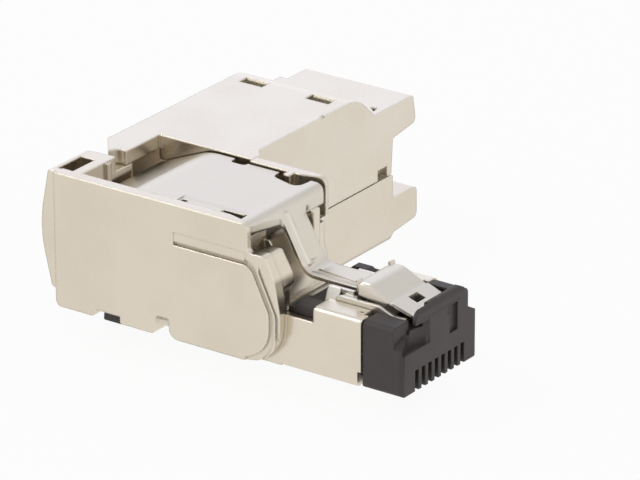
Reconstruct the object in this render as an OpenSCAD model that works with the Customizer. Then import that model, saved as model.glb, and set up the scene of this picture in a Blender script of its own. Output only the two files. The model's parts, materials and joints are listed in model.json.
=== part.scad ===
// Right-angled shielded modular plug: cast housing, side cable outlet, sheet latch.
// Modelling axes: X runs forward out of the nose, Y towards the cable outlet, Z up.
// Distances named "..._back" are measured rearwards from the front face of the nose.

/* [Nose] */
// Width of the plastic nose
nose_w = 11.68; // [11.5:0.02:11.8]
// Length of nose in front of the metal shell
nose_len = 4.35; // [4:0.05:4.8]
// Height of the nose beside the latch
nose_h = 6.4; // [6.2:0.05:6.6]
// Height of the stepped front corners
shoulder_h = 4.5; // [4.2:0.05:4.8]
// Length of the stepped front corners
shoulder_len = 0.95; // [0.8:0.05:1.2]
// Height of the latch bridge
bridge_h = 7.45; // [7.2:0.05:7.8]
// Thickness of the latch bridge along the plug
bridge_t = 0.9; // [0.8:0.05:1]
// Thickness of the thin hood at the near end of the bridge
hood_t = 0.4; // [0.35:0.05:0.5]
// Distance from the plug axis to the inner end of that hood
hood_end = 1.2; // [0.8:0.1:1.6]
// Radius of the hollow under that hood
hollow_r = 3.7; // [3.4:0.1:4]
// Depth of that hollow
hollow_depth = 0.7; // [0.6:0.05:0.75]
// Bridge end on the side away from the cable
bridge_near = 3.7; // [3.4:0.1:4]
// Bridge end on the cable side
bridge_far = 4.2; // [3.9:0.1:4.5]
// Length of the guide arm behind the bridge
arm_len = 3.1; // [2.6:0.1:3.2]
// Edge rounding of the nose
nose_edge = 0.4; // [0.2:0.05:0.6]

/* [Contacts] */
// Spacing of the contacts
contact_pitch = 1.016; // [1:0.004:1.03]
// Thickness of a contact
contact_t = 0.35; // [0.3:0.01:0.4]
// Width of a contact slot
slot_w = 0.56; // [0.5:0.01:0.64]
// Height of a slot on the front face
slot_h = 2; // [1.8:0.05:2.4]
// Distance to the tip of a contact
contact_tip = 0.55; // [0.5:0.05:0.7]
// Distance to the rear end of a contact
contact_back = 7.6; // [7.4:0.05:7.8]
// Length of the contact edge
contact_len = 2.75; // [2.5:0.05:3]
// Height of the contact edge above the underside of the nose
contact_h = 0.5; // [0.45:0.01:0.55]

/* [Housing] */
// Width over the side walls
body_w = 14; // [13.8:0.1:14.6]
// Height of the side walls
body_top = 13.1; // [12.9:0.1:13.6]
// Distance from the plug axis to the outside of the far wall
far_w = 6.4; // [6.3:0.05:6.8]
// Thickness of the far wall
far_wall_t = 1.05; // [0.9:0.05:1.1]
// Thickness of the near wall
side_wall = 1.2; // [1:0.05:1.3]
// Width of the metal nose shell
shell_w = 12; // [11.9:0.05:12.2]
// Height of the metal nose shell
shell_h = 6.45; // [6.4:0.05:6.7]
// Wall of the metal nose shell
shell_wall = 0.75; // [0.65:0.05:0.8]
// Width of the inturned lips along the top of the shell
shell_lip = 1.75; // [1.6:0.05:1.9]
// Width of the ears at the front corners of those lips
ear_w = 1.3; // [1.1:0.05:1.4]
// Length of those ears
ear_len = 0.55; // [0.4:0.05:0.7]
// Diameter of the hole beside each ear
ear_hole = 0.4; // [0.3:0.02:0.5]
// Distance to the back of the nose shell
shell_back = 12.9; // [12.6:0.1:13.2]
// Length of the open notch in the shell sides
notch_len = 3.5; // [3:0.1:3.8]
// Height of the shell wall under the notch
notch_h = 5; // [4.8:0.05:5.2]
// Distance to the front edge of the near wall
wall_back = 15.8; // [15.6:0.1:16.2]
// Distance to the front edge of the far wall
far_back = 16.5; // [16.3:0.1:17]
// Distance to the rear face of the outlet
rear_back = 38.4; // [38:0.1:39]
// Thickness of the rear block behind the press well
rear_t = 3.4; // [3:0.1:3.8]
// Bulge of the rear face
bulge = 0.85; // [0.5:0.05:1.2]
// Length of the rear foot of the near wall
rear_foot = 4.55; // [4.2:0.05:4.8]
// Gap in front of the rear foot
rear_gap = 2.75; // [2.5:0.05:3]
// Height of that gap
rear_gap_h = 0.7; // [0.5:0.05:0.9]
// Gap between the finger pad and the middle foot
foot_gap = 1.5; // [1.2:0.05:1.8]
// Height of that gap
foot_gap_h = 1.85; // [1.6:0.05:2]
// Distance to the front of the rib in the far wall
rib_back = 19.5; // [19.3:0.1:19.7]
// Thickness of that rib
rib_t = 0.65; // [0.5:0.05:0.8]
// Height of the ramp under the latch
ramp_top = 10; // [9.8:0.05:10.2]
// Height of the post between the latch neck and the far wall
post_top = 11.6; // [11.2:0.05:11.7]
// Underside of the housing floor
floor_h = 1; // [0.8:0.1:1.2]
// Thickness of the housing floor
floor_t = 1; // [0.8:0.1:1.2]
// Top of the finger pad on the near wall
pad_h = 9.2; // [8.9:0.05:9.4]
// Depth of the grooves round the finger pad
pad_relief = 0.32; // [0.2:0.02:0.5]
// Height of the relief above the pad
relief_h = 1.25; // [1:0.05:1.4]
// Depth of that relief
relief_t = 0.08; // [0.05:0.01:0.12]
// Radius of the lower front corner of the near wall
wall_corner = 3.8; // [3.4:0.1:4.2]
// Width of the inner of two grooves round the front of the pad
pad_groove = 0.5; // [0.4:0.02:0.54]
// Width of the ridge between those grooves
pad_ridge = 0.22; // [0.2:0.02:0.26]

/* [Outlet] */
// Width of the cable outlet
outlet_w = 13.1; // [12.8:0.1:13.4]
// Drop of the outlet below the nose
outlet_drop = 2.95; // [2.6:0.05:3.4]
// Height of the joint between cover and base
split_h = 3.65; // [3.4:0.05:3.8]
// Visible gap in that joint
split_gap = 0.14; // [0.05:0.01:0.2]
// Distance from the plug axis to the end of the outlet block
block_reach = 29.4; // [29:0.1:30.4]
// Distance from the plug axis to the end of the lips
lip_reach = 33.45; // [32.8:0.05:34.4]
// Inset of the lips on the rear side
lip_inset = 0.85; // [0.5:0.05:1.2]
// Top of the upper lip
lip_top = 10.55; // [10.2:0.05:10.8]
// Underside of the upper lip
lip_under = 7.4; // [7.2:0.05:7.6]
// Top of the lower lip
lip_floor = 1.1; // [0.9:0.05:1.3]
// Step between the outlet and the end of the far wall
outlet_step = 0.85; // [0.7:0.05:1]
// Distance from the plug axis to the end of the full-height cover
crest_reach = 23.5; // [23:0.1:24]
// Diameter of the cable passage
cable_d = 7.4; // [6.6:0.1:7.8]
// Thickness of the cover roof
roof_t = 1.4; // [1.2:0.05:1.6]
// Depth of the lip under the roof along the press well
well_lip = 1; // [0.8:0.05:1.2]
// Side wall of the outlet
outlet_wall = 1.3; // [1.1:0.05:1.4]
// Width of a catch slot in the cover
catch_w = 2.7; // [2.4:0.05:2.8]
// Length of a catch slot in the cover
catch_l = 1.3; // [1.2:0.05:1.5]
// Distance from the plug axis to the catch slots
catch_reach = 21.45; // [21:0.05:21.6]
// Spacing between the two catch slots
catch_pitch = 7.6; // [7.4:0.05:7.9]

/* [Latch] */
// Thickness of the latch sheet
sheet_t = 0.35; // [0.3:0.01:0.4]
// Reach of the press plate towards the near wall
press_near = 5.4; // [5.2:0.05:5.5]
// Reach of the press plate towards the far wall
press_far = 5.05; // [4.9:0.05:5.1]
// Width of the latch neck
neck_w = 3.3; // [3:0.05:3.6]
// Width of the locking tongue
tongue_w = 5.6; // [5.4:0.05:5.8]
// Height of the press plate
press_h = 12.9; // [12.7:0.05:13]
// Drop of the rear end of the press plate
press_drop = 2.2; // [1.9:0.1:2.4]
// Height of the neck above the nose
neck_h = 7.25; // [7.1:0.05:7.3]
// Height of the rib pressed into the slope of the neck
neck_rib_rise = 0.32; // [0.24:0.02:0.4]
// Height of the ridge along the flat of the neck
ridge_rise = 0.12; // [0.08:0.02:0.16]
// Depth of the groove beside that ridge
groove_depth = 0.15; // [0.1:0.01:0.2]
// Depth of the pressed margin along the press plate
margin_depth = 0.1; // [0.06:0.01:0.12]
// Height of the locking shoulders
tongue_h = 8.4; // [8.2:0.05:8.5]
// Distance to the locking shoulders
tongue_back = 7; // [6.8:0.05:7.3]
// Depth of the turned-down edges of the tongue
fold_depth = 1.25; // [1.1:0.05:1.3]
// Slant across the fold of those edges
fold_slant = 0.4; // [0.3:0.05:0.5]
// Diameter of the curls on the locking shoulders
curl_d = 0.4; // [0.35:0.05:0.5]
// Distance to the pivot of the latch
pivot_back = 2; // [1.9:0.05:2.2]
// Height of the pivot of the latch
pivot_h = 6.2; // [6.15:0.05:6.3]
// Diameter of the rolled bead on the pivot
bead_d = 0.9; // [0.8:0.05:0.95]
// Inset of that bead from the edges of the tongue
bead_inset = 0.6; // [0.5:0.05:0.8]
// Width of the hole in the tongue
tongue_hole_w = 1.4; // [1.2:0.05:1.6]
// Length of the hole in the tongue
tongue_hole_l = 1; // [0.8:0.05:1.1]
// Rise of the arched spring under the latch
spring_rise = 0.7; // [0.6:0.05:0.75]
// Thickness of that spring
spring_t = 0.3; // [0.25:0.01:0.32]
// Bend radius of that spring
spring_bend = 0.5; // [0.4:0.05:0.55]
// Distance to the front edge of that spring
spring_front = 1.5; // [1.4:0.05:1.7]
// Length of the wings of that spring behind the locking shoulders
spring_over = 2.2; // [2:0.05:2.4]
// Height of those wings above the arch
wing_rise = 0.4; // [0.3:0.05:0.45]
// Height of the guards beside the neck above those wings
guard_rise = 0.4; // [0.3:0.05:0.45]
// Height of the upright sides of that spring above its arch
side_rise = 0.65; // [0.5:0.05:0.7]

/* [Inside] */
// Thickness of the circuit board
board_t = 1; // [0.8:0.05:1.05]
// Underside of the circuit board
board_h = 3; // [2.9:0.05:3.1]
// Width of the circuit board
board_w = 9.9; // [9.6:0.1:10]
// Height of the terminal block
block_h = 3.6; // [3.2:0.1:3.8]
// Height of the wire cap
cap_h = 1.7; // [1.5:0.1:1.8]
// Spacing of the wires across the terminal block
wire_pitch = 2.5; // [2.3:0.05:2.5]
// Diameter of a wire channel
wire_d = 1.1; // [0.9:0.05:1.2]
// Thickness of an insulation displacement blade
blade_t = 0.4; // [0.35:0.01:0.45]
// Thickness of the screen clamps
clamp_t = 0.3; // [0.2:0.05:0.35]
// Length of the screen clamps
clamp_len = 4.8; // [4.4:0.1:5]

/* [Clearances] */
// Gap between pieces that are pressed or clipped together
fit_gap = 0.05; // [0.02:0.01:0.08]
// Gap round pieces that move
run_gap = 0.3; // [0.25:0.01:0.35]

/* [Hidden] */
contact_count = 8;
$fn = 48;
skin = 0.02;

// Derived places
half_w = body_w / 2;
nose_gap = 0.12;
well_y = half_w - side_wall;
outlet_x0 = -rear_back;
outlet_x1 = outlet_w - rear_back;
outlet_mid = (outlet_x0 + outlet_x1) / 2;
cable_h = (lip_under + lip_floor) / 2;
base_top = split_h - split_gap;
floor_top = floor_h + floor_t;
shell_in = shell_w / 2 - shell_wall;
roof_under = body_top - roof_t;
far_in = far_w - far_wall_t;
well_back = rear_back - rear_t;
rear_end = -min([for (p = rear_outline()) p.x]);
far_end_back = rear_back - outlet_w - outlet_step;
pad_back = far_end_back + 0.15;
board_top = board_h + board_t;
block_top = board_top + block_h;
cap_top = block_top + cap_h;
carrier_back = shell_back - run_gap;
carrier_top = 5.55;
board_front = 6.05;
board_back = far_end_back - 0.45;
board_nose_w = 2 * (shell_in - run_gap - fit_gap);
block_front = far_back + 1 + 2 * fit_gap;
block_back = board_back + 1;
clamp_mid = block_reach - 3.9;
bore_start = catch_reach - 2.45;
channel_y = neck_w / 2 + 0.6;
channel_near = neck_w / 2 + 2.45;
frame_shift = [rear_end / 2, (half_w - lip_reach) / 2, outlet_drop];

// Points along a rounded corner q between neighbours p and s
function unit(v) = v / norm(v);
function corner(p, q, s, r, n) =
    let (
        u = unit(p - q),
        v = unit(s - q),
        half = acos(u * v) / 2,
        c = q + unit(u + v) * r / sin(half),
        from = q + u * r / tan(half) - c,
        to = q + v * r / tan(half) - c,
        a0 = atan2(from.y, from.x),
        turn = atan2(to.y, to.x) - a0,
        sweep = turn > 180 ? turn - 360 : turn < -180 ? turn + 360 : turn
    )
    [for (i = [0:n]) c + r * [cos(a0 + sweep * i / n), sin(a0 + sweep * i / n)]];

function flat(p) = [p[0], p[1]];
function rounding(p) = len(p) > 2 ? p[2] : 0;

// Closed outline; a third number on a point is its corner radius
function outline(pts, n = 5) =
    let (m = len(pts))
    [for (i = [0:m - 1])
        each rounding(pts[i]) > 0
            ? corner(flat(pts[(i + m - 1) % m]), flat(pts[i]), flat(pts[(i + 1) % m]), pts[i][2], n)
            : [flat(pts[i])]];

// Open path with rounded bends
function bent(pts, n = 6) =
    let (m = len(pts))
    [for (i = [0:m - 1])
        each i > 0 && i < m - 1 && rounding(pts[i]) > 0
            ? corner(flat(pts[i - 1]), flat(pts[i]), flat(pts[i + 1]), pts[i][2], n)
            : [flat(pts[i])]];

function normal(a, b) = let (d = unit(b - a)) [-d.y, d.x];

// The same path moved sideways by t
function beside(path, t) =
    let (m = len(path))
    [for (i = [0:m - 1])
        let (
            n0 = normal(path[max(i - 1, 0)], path[max(i, 1)]),
            n1 = normal(path[min(i, m - 2)], path[min(i + 1, m - 1)]),
            bisector = unit(n0 + n1)
        )
        path[i] + bisector * t / (bisector * n0)];

function reversed(list) = [for (i = [len(list) - 1:-1:0]) list[i]];

// Section of a bent sheet whose top follows the path
function sheet(path, t) = concat(path, reversed(beside(path, t)));

module in_frame() {
    translate(frame_shift) children();
}

module box(x0, x1, y0, y1, z0, z1) {
    translate([x0, y0, z0]) cube([x1 - x0, y1 - y0, z1 - z0]);
}

// Side view (X, Z) drawn out from y0 to y1
module across(y0, y1) {
    translate([0, y1, 0]) rotate([90, 0, 0]) linear_extrude(y1 - y0) children();
}

// Front view (Y, Z) drawn out from x0 to x1
module along(x0, x1) {
    translate([x0, 0, 0]) rotate([90, 0, 90]) linear_extrude(x1 - x0) children();
}

// Plan view (X, Y) drawn out from z0 to z1
module upright(z0, z1) {
    translate([0, 0, z0]) linear_extrude(z1 - z0) children();
}

module both_sides() {
    children();
    mirror([0, 1, 0]) children();
}

// Near side wall seen from the side, with its two feet and stepped front
module near_wall_shape() {
    rear = rear_back - 1;
    front = shell_back - 0.55;
    polygon(outline([
        [-rear, 0, 0.6], [-rear, body_top, 0.2],
        [-wall_back, body_top, 0.75], [-wall_back, ramp_top + 0.45, 0.4],
        [-wall_back + 1.8, ramp_top + 0.45, 0.5], [-shell_back, pad_h - 0.85, 2.5],
        [-front, notch_h + 0.3, 0.6], [-front, 0, wall_corner],
        [-pad_back, 0, 1], [-pad_back, foot_gap_h, 0.2],
        [-pad_back - foot_gap, foot_gap_h, 0.2], [-pad_back - foot_gap, 0, 0.5],
        [-rear + rear_foot + rear_gap, 0, 0.2], [-rear + rear_foot + rear_gap, rear_gap_h],
        [-rear + rear_foot, rear_gap_h, 0.1], [-rear + rear_foot, 0, 0.55]
    ]));
}

module finger_pad_shape(grow) {
    front = shell_back + 0.65 - grow;
    polygon(outline([
        [-pad_back, -1], [-pad_back, pad_h + grow], [-wall_back + 0.2 + grow * 0.6, pad_h + grow, 1.2],
        [-front, notch_h, 1.5], [-front, 1.6 - grow, 3], [-front - 3, 0.1 - grow], [-front - 6, -1]
    ]));
}

module near_wall() {
    difference() {
        across(-half_w, -well_y) near_wall_shape();
        // shallow relief above the pad with a groove along its foot
        for (step = [[relief_t, relief_h], [pad_relief, pad_groove * 0.6]])
            box(-pad_back + 0.6, -wall_back - 0.2, -half_w - skin, -half_w + step[0], pad_h, pad_h + step[1]);
        // two grooves round the front of the pad
        for (groove = [[0, pad_groove], [pad_groove + pad_ridge, pad_groove * 0.6]])
            across(-half_w - skin, -half_w + pad_relief * 0.8) intersection() {
                translate([-wall_back - 0.4 + 2.2 * groove[0], -2])
                    square([wall_back - shell_back + 2.1, pad_h + 4]);
                difference() {
                    finger_pad_shape(groove[0] + groove[1]);
                    finger_pad_shape(groove[0]);
                }
            }
        // thinner front end
        upright(ramp_top + 0.45, body_top + 1) polygon([
            [-wall_back - 2.7, -well_y + 0.1], [-wall_back - 2.7, -well_y], [-wall_back - 0.3, -half_w + 0.6],
            [-wall_back + 2, -half_w + 0.6], [-wall_back + 2, -well_y + 0.1]
        ]);
    }
    // thick feet
    across(-well_y - skin, -well_y + 0.7) intersection() {
        near_wall_shape();
        translate([-rear_back, 0]) square([rear_back - shell_back - 1, floor_top]);
    }
}

// Bulged rear face seen from the side
function rear_outline() = outline([
    [-well_back, floor_h], [-well_back, body_top], [-rear_back + 0.2, body_top, 0.25],
    [-rear_back - bulge - 0.1, body_top * 0.56, 12], [-rear_back + 0.35, floor_h + 0.7, 0.4]
], 8);

// Bulged rear block with its pocket and rounded outer corner
module rear_block() {
    difference() {
        intersection() {
            across(-half_w + 0.3, -0.9) polygon(rear_outline());
            upright(0, body_top + 1) polygon(outline([
                [-well_back + 1, -half_w], [-well_back + 1, -0.9],
                [-rear_back - 1.85, -0.9, 3.6], [-rear_back - 1.85, -half_w]
            ], 8));
        }
        box(-rear_back + 0.7, -rear_back + 2.35, -half_w + 1.05, -half_w + 4.5, body_top - 3, body_top + 1);
    }
}

module far_wall() {
    difference() {
        across(far_in, far_w) polygon(outline([
            [-far_end_back, floor_h], [-far_end_back, body_top],
            [-far_back, body_top, 0.8], [-far_back, ramp_top - 0.6, 0.3],
            [-far_back - 1, ramp_top - 1.6], [-far_back - 0.1, notch_h + 0.6], [-far_back - 0.1, floor_h]
        ]));
        // thinner front end
        upright(cap_top, body_top + 1) polygon([
            [-far_back - 2.4, far_in - 0.1], [-far_back - 2.4, far_in], [-far_back - 0.2, far_w - 0.45],
            [-far_back + 1, far_w - 0.45], [-far_back + 1, far_in - 0.1]
        ]);
    }
    // rib beside the press plate
    box(-rib_back - rib_t, -rib_back, far_in - 0.8, far_in + skin, cap_top + 0.5, body_top);
}

// Room for the circuit board as it enters the nose
module board_passage(x0, width) {
    reach = width / 2 + 3 * fit_gap;
    box(x0, -shell_back + 1, -reach, reach, floor_top, board_top + 2 * run_gap);
}

// Ramp beside the latch neck, with the channel that the neck sinks into
module ramp_block() {
    channel = [
        [-far_back - 0.2, ramp_top - 0.1], [-shell_back - 1, carrier_top - 0.25],
        [-shell_back + 1, carrier_top - 0.25]
    ];
    difference() {
        union() {
            across(-well_y - skin, channel_y) polygon(outline([
                [-wall_back + 0.5, floor_h], [-wall_back + 0.5, ramp_top + 0.3],
                [-wall_back + 1.7, ramp_top + 0.3, 0.3], [-shell_back - 0.05, pad_h - 0.9, 2],
                [-shell_back + 0.1, shell_h + 0.9, 0.4], [-shell_back - 0.35, shell_h + 0.1],
                [-shell_back - 0.35, floor_h]
            ]));
            across(-channel_y - 0.25, channel_y) polygon([
                [-far_back - 1, floor_h], [-far_back - 1, ramp_top - 0.1], [-far_back - 0.2, ramp_top - 0.1],
                [-shell_back - 1, carrier_top], [-shell_back - 1, floor_h]
            ]);
            // wall behind the ramp and ledge beyond the neck
            box(-far_back - 1, -far_back - 0.65, -well_y - skin, -channel_y, floor_h, ramp_top + 0.9);
            across(channel_y - skin, far_in + skin) polygon([
                [-far_back - 1, floor_h], [-far_back - 1, ramp_top - 0.6],
                [-far_back + 0.3, ramp_top - 0.9], [-far_back + 0.3, floor_h]
            ]);
            box(-far_back - 1, -shell_back, -well_y, shell_w / 2, floor_h, notch_h);
        }
        across(-channel_near, channel_y + 1) polygon(concat(channel, [
            [-shell_back + 1, body_top], [-far_back - 0.2, body_top]
        ]));
        // passage of the circuit board
        board_passage(-far_back - 2, board_w);
        board_passage(-shell_back - 2 * run_gap, board_nose_w);
    }
    // post beside the neck
    across(neck_w / 2 + run_gap + fit_gap, channel_y + 0.7) polygon(outline([
        [-far_back, notch_h - skin], [-far_back, ramp_top - 1.2], [-wall_back + 0.35, ramp_top - 1.2],
        [-wall_back + 0.35, post_top, 0.15], [-wall_back + 0.8, post_top, 0.15],
        [-wall_back + 0.8, ramp_top - 3], [-shell_back - 1, notch_h - skin]
    ], 4));
}

// Metal sleeve round the back of the nose
module nose_shell() {
    difference() {
        along(-shell_back - skin, -nose_len) polygon(outline([
            [-shell_w / 2, 0, 0.3], [shell_w / 2, 0, 0.3],
            [shell_w / 2, shell_h, 0.5], [-shell_w / 2, shell_h, 0.5]
        ]));
        box(-shell_back - 1, 0, -shell_in, shell_in, shell_wall, shell_h - shell_wall);
        box(-shell_back - 1, 0, -shell_in + shell_lip, shell_in - shell_lip, shell_wall, body_top);
        box(-shell_back - 1, -shell_back + notch_len, -half_w, half_w, notch_h, body_top);
        box(-nose_len - 0.37, 0, -half_w, half_w, -1, 1.45);
        // lips set back behind a pierced ear at each front corner
        both_sides() {
            box(-nose_len - ear_len, 0, 0, shell_w / 2 - ear_w, shell_wall, body_top);
            translate([-nose_len - ear_len - ear_hole, shell_w / 2 - ear_w - ear_hole, shell_h - 0.4])
                cylinder(d = ear_hole, h = 1);
        }
    }
}

module plug_housing() {
    color("#d8cfbf") in_frame() {
        near_wall();
        rear_block();
        far_wall();
        ramp_block();
        nose_shell();
        // shell carried on under the front of the walls
        box(-wall_back, -shell_back + skin, -shell_w / 2, shell_w / 2, 0, floor_top);
        box(-wall_back, -shell_back + skin, -shell_w / 2, -well_y + skin, 0, notch_h);
        // floor with a rest for the circuit board
        box(-well_back - 0.5, -shell_back + skin, -well_y - skin, far_w - skin, floor_h, floor_top);
        box(-board_back + 0.4, -board_back + 1.6, -board_w / 2, board_w / 2, floor_top - skin, board_h);
        // low rear wall between the rear block and the cover
        box(-well_back - 1.2, -well_back, -1.2, 1.6, floor_h, roof_under - fit_gap);
        box(-well_back - skin, -well_back + 0.25, -2.4, -1.8, press_h - press_drop + run_gap, body_top - 0.15);
    }
}

// Plan of the cover where it wraps round the press well
module cover_plan() {
    wing = -far_end_back - fit_gap;
    difference() {
        polygon([
            [outlet_x0, half_w + 1], [outlet_x0, 2.35], [-well_back - 1.4, -0.1], [-well_back - fit_gap, -0.1],
            [-well_back - fit_gap, well_y], [wing, well_y], [wing, far_w + 0.5], [outlet_x1, half_w + 0.9]
        ]);
        translate([-well_back - 0.5, -0.1]) circle(r = 0.95);
    }
}

// Side view (Y, Z) of the cover beyond the far wall
module cover_shape() {
    polygon(outline([
        [far_w + fit_gap, split_h], [block_reach - 0.25, split_h], [block_reach, lip_under - 0.2, 0.2],
        [lip_reach - 0.2, lip_under + 0.3, 0.6], [lip_reach - 0.7, lip_top, 0.4],
        [crest_reach + 2.85, lip_top, 0.3], [crest_reach, body_top, 4], [far_w + fit_gap, body_top]
    ]));
}

module catch_slots(z0, z1, width, offset) {
    for (side = [-1, 1])
        translate([outlet_mid + side * (catch_pitch / 2 + offset), catch_reach, (z0 + z1) / 2])
            cube([width, catch_l, z1 - z0], center = true);
}

module cable_bore(d, y0, y1) {
    translate([outlet_mid, y1, cable_h]) rotate([90, 0, 0]) cylinder(d = d, h = y1 - y0);
}

// Groove round the cable that holds the screen clamps
module clamp_seat() {
    reach = clamp_len / 2 + 2 * fit_gap;
    cable_bore(cable_d + 2 * clamp_t + 2 * fit_gap, clamp_mid - reach, clamp_mid + reach);
}

module outlet_hollow(z0, z1) {
    box(outlet_x0 + outlet_wall, outlet_x1 - outlet_wall, 3.6, bore_start + 0.5, z0, z1);
}

module cover_body() {
    difference() {
        union() {
            along(outlet_x0, outlet_x1) cover_shape();
            upright(roof_under, body_top) cover_plan();
            intersection() {
                upright(split_h, body_top) cover_plan();
                union() {
                    box(outlet_x0, outlet_x0 + outlet_wall, -1, half_w + 1, 0, body_top);
                    box(outlet_x1 - outlet_wall, 0, well_y, half_w + 1, 0, body_top);
                }
            }
        }
        outlet_hollow(split_h - 1, roof_under);
        box(-rear_back - 1, outlet_x0 + lip_inset, block_reach, lip_reach + 1, 0, body_top);
        cable_bore(cable_d, bore_start, lip_reach + 1);
        clamp_seat();
        catch_slots(roof_under - 0.5, body_top + 1, catch_w, 0);
        catch_slots(split_h - 1, roof_under, catch_w / 2, catch_w / 4);
        // window above the joint and small notch in the top edge
        box(outlet_x1 - 0.9, outlet_x1 + 1, block_reach - 2.5, block_reach - 0.9, split_h - 1, split_h + 1.05);
        translate([outlet_x1, crest_reach - 5.5, body_top]) rotate([0, 45, 0])
            cube([0.4, 0.5, 0.4], center = true);
        // three-cornered pocket in the lip
        upright(lip_top - 0.7, lip_top + 1) polygon([
            [outlet_x1 - 1.5, crest_reach + 4.3], [outlet_x1 - 0.75, crest_reach + 4.5],
            [outlet_x1 - 0.6, crest_reach + 3.5]
        ]);
    }
}

module cable_cover() {
    color("#ded9d4") in_frame() {
        cover_body();
        // lip along the press well
        box(-well_back - fit_gap, -far_end_back - fit_gap, well_y, well_y + 1,
            roof_under - well_lip, roof_under + skin);
    }
}

// Side view (Y, Z) of the base
module base_shape() {
    polygon(outline([
        [0, -outlet_drop, 0.5], [block_reach - 0.4, -outlet_drop, 0.4],
        [block_reach + 0.2, -outlet_drop + 0.5, 0.4], [lip_reach, -outlet_drop + 0.85, 0.6],
        [lip_reach, lip_floor, 0.7], [block_reach + 0.1, lip_floor],
        [block_reach, base_top, 0.2], [far_w + fit_gap, base_top],
        [far_w + fit_gap, floor_h - fit_gap], [0, floor_h - fit_gap, 0.3]
    ]));
}

module cable_base() {
    color("#d6cdbd") in_frame() {
        difference() {
            along(outlet_x0, outlet_x1) base_shape();
            outlet_hollow(-outlet_drop + outlet_wall, split_h + 1);
            box(-rear_back - 1, outlet_x0 + lip_inset, block_reach + 0.1, lip_reach + 1,
                -outlet_drop - 1, split_h);
            cable_bore(cable_d, bore_start, lip_reach + 1);
            clamp_seat();
        }
        // catches that rise into the slots of the cover
        for (side = [-1, 1])
            translate([outlet_mid + side * (catch_pitch / 2 + catch_w / 4), catch_reach, 0]) {
                translate([-catch_w / 4 + 0.1, -catch_l / 2 + 0.1, base_top - 1])
                    cube([catch_w / 2 - 0.2, catch_l - 0.2, roof_under + 0.4 - base_top + 1]);
            }
    }
}

module base_lock_tab() {
    color("#4b4645") in_frame() along(-rear_back + 3, -rear_back + 4.9) polygon(outline([
        [-2.6, -outlet_drop + 0.25, 0.3], [-fit_gap, -outlet_drop + 0.7],
        [-fit_gap, floor_h - 0.4], [-2.1, floor_h - 0.4, 0.2]
    ]));
}

// Front view (Y, Z) of the plastic nose
module nose_shape() {
    polygon(outline([
        [-nose_w / 2, 0, nose_edge], [nose_w / 2, 0, nose_edge],
        [nose_w / 2, nose_h, 0.6], [-nose_w / 2, nose_h, 0.6]
    ]));
}

module bridge() {
    intersection() {
        along(-bridge_t, 0) polygon(outline([
            [-bridge_near, shoulder_h - 1], [bridge_far, shoulder_h - 1],
            [bridge_far, bridge_h, 0.9], [-bridge_near, bridge_h, 0.9]
        ]));
        across(-nose_w, nose_w) polygon(outline([
            [-bridge_t, 0], [-skin, 0], [-skin, bridge_h, 0.5], [-bridge_t, bridge_h, 0.2]
        ]));
    }
}

// Raised contact slots open to the underside and the front
module contact_slots() {
    for (i = [0:contact_count - 1])
        translate([0, (i - (contact_count - 1) / 2) * contact_pitch - slot_w / 2, 0]) {
            box(-contact_back - 2 * fit_gap, 1, 0, slot_w, -1, slot_h);
            box(-contact_back - 2 * fit_gap, -contact_tip + fit_gap, 0, slot_w, -1, board_h);
        }
}

module contact_carrier() {
    arm_in = tongue_w / 2 - 0.1 + run_gap;
    color("#4a4645") in_frame() difference() {
        union() {
            difference() {
                intersection() {
                    along(-nose_len + nose_gap, 0) nose_shape();
                    upright(-1, body_top) polygon(outline([
                        [-nose_len, -nose_w / 2], [0, -nose_w / 2, nose_edge],
                        [0, nose_w / 2, nose_edge], [-nose_len, nose_w / 2]
                    ]));
                }
                // stepped corners, sloping outwards
                both_sides() along(-shoulder_len, 1) polygon([
                    [bridge_near - 0.4, body_top], [bridge_near - 0.4, shoulder_h + 0.7],
                    [nose_w / 2 - 1.4, shoulder_h + 0.7], [nose_w / 2 + skin, shoulder_h - 0.1],
                    [nose_w, shoulder_h - 0.1], [nose_w, body_top]
                ]);
                // seat of the latch spring
                box(-nose_len - 1, -bridge_t, -shell_in + shell_lip, shell_in - shell_lip,
                    carrier_top, body_top);
            }
            bridge();
            box(-arm_len, -bridge_t + 0.3, arm_in, bridge_far - 0.15, carrier_top - skin, bridge_h - 0.35);
            // body inside the metal shell
            box(-carrier_back, -nose_len + 0.3, -shell_in + fit_gap, shell_in - fit_gap,
                shell_wall + fit_gap, carrier_top);
            both_sides() along(-carrier_back + 0.8, -carrier_back + 2.9) polygon(outline([
                [shell_in - 1.7, carrier_top - 0.3], [shell_in - fit_gap, carrier_top - 0.3],
                [shell_in - fit_gap, carrier_top + 0.6, 0.4], [shell_in - 1.7, carrier_top + 0.6, 0.3]
            ]));
            // taller lug on the cable side with bevelled ends
            across(shell_in - 1.7, shell_in - 0.75) polygon([
                [-carrier_back + 0.4, carrier_top - 0.3], [-carrier_back + 0.4, carrier_top + 0.6],
                [-carrier_back + 0.8, carrier_top + 0.95], [-carrier_back + 2.3, carrier_top + 0.95],
                [-carrier_back + 2.7, carrier_top + 0.65], [-carrier_back + 2.7, carrier_top - 0.3]
            ]);
        }
        contact_slots();
        // pocket of the circuit board
        box(-shell_back - 1, -board_front + fit_gap, -board_nose_w / 2 - fit_gap, board_nose_w / 2 + fit_gap,
            board_h, board_top + fit_gap);
        // room under the sinking neck
        box(-shell_back, -tongue_back - 0.6, -channel_y, channel_y, carrier_top - 0.35, body_top);
        // thin hood at the near end of the bridge, hollow underneath
        box(-bridge_t - skin, -hood_t, -bridge_near - 0.45, -hood_end, carrier_top, body_top);
        translate([hollow_r - hollow_depth, -bridge_near, shoulder_h - 0.6]) cylinder(r = hollow_r, h = 2.3);
        // shallow recess and slot in the face of the bridge
        box(-0.3, 1, 1.5, 2.8, shoulder_h - 0.9, bridge_h - 1.15);
        box(-0.6, 1, 1.2, 1.55, bridge_h - 1.9, bridge_h - 1.15);
    }
}

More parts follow.
